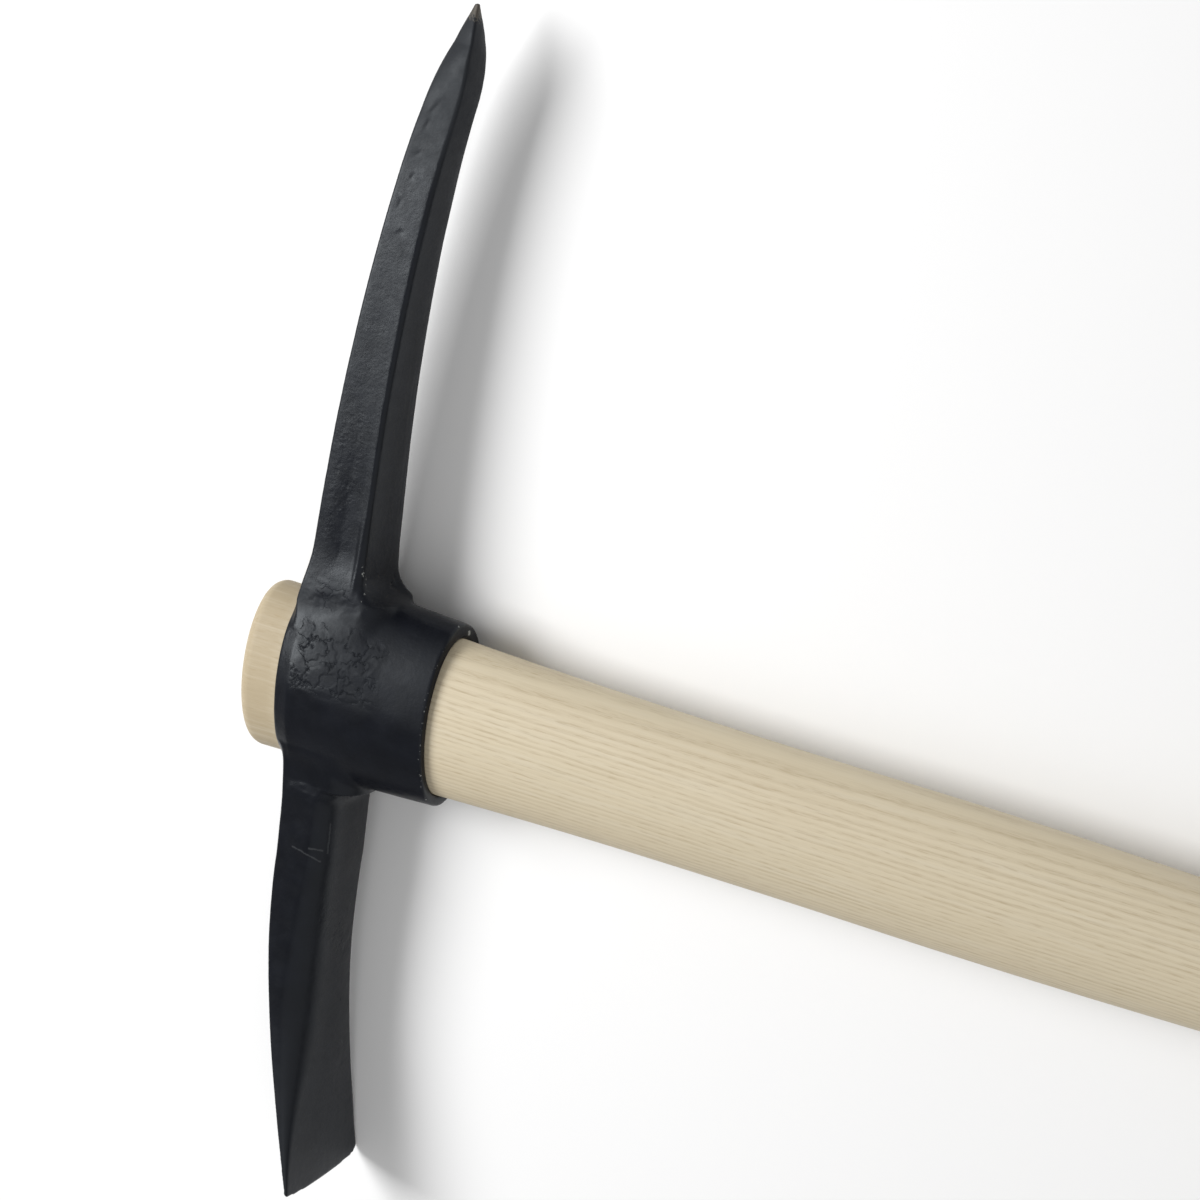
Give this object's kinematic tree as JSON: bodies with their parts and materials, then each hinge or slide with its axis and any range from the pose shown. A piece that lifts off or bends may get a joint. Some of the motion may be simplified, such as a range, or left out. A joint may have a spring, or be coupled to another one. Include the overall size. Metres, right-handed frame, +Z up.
{
  "type": "pick axe",
  "caption": "Pick axe with a forged head, a curved pick arm and a spread cutting blade on a tapered oval-to-round ash handle through a drop-through eye.",
  "frame": {"origin": "middle of the outline seen from above, on the ground under the tool as it lies on its side", "axes": "+X along the handle towards the butt, +Y along the head towards the pick's point, +Z up"},
  "size_m": [0.95, 0.501, 0.0555],
  "materials": {
    "lacquered_steel": "satin blue-black lacquer over forging skin",
    "ash": "sanded bare ash"
  },
  "bodies": {
    "handle": {"handle": "ash"},
    "head": {"pick_head": "lacquered_steel"}
  },
  "joints": [
    {"name": "head_slide", "type": "slide", "parent": "handle", "child": "head", "axis": [1, 0, 0], "range_m": [0, 0.96]}
  ]
}
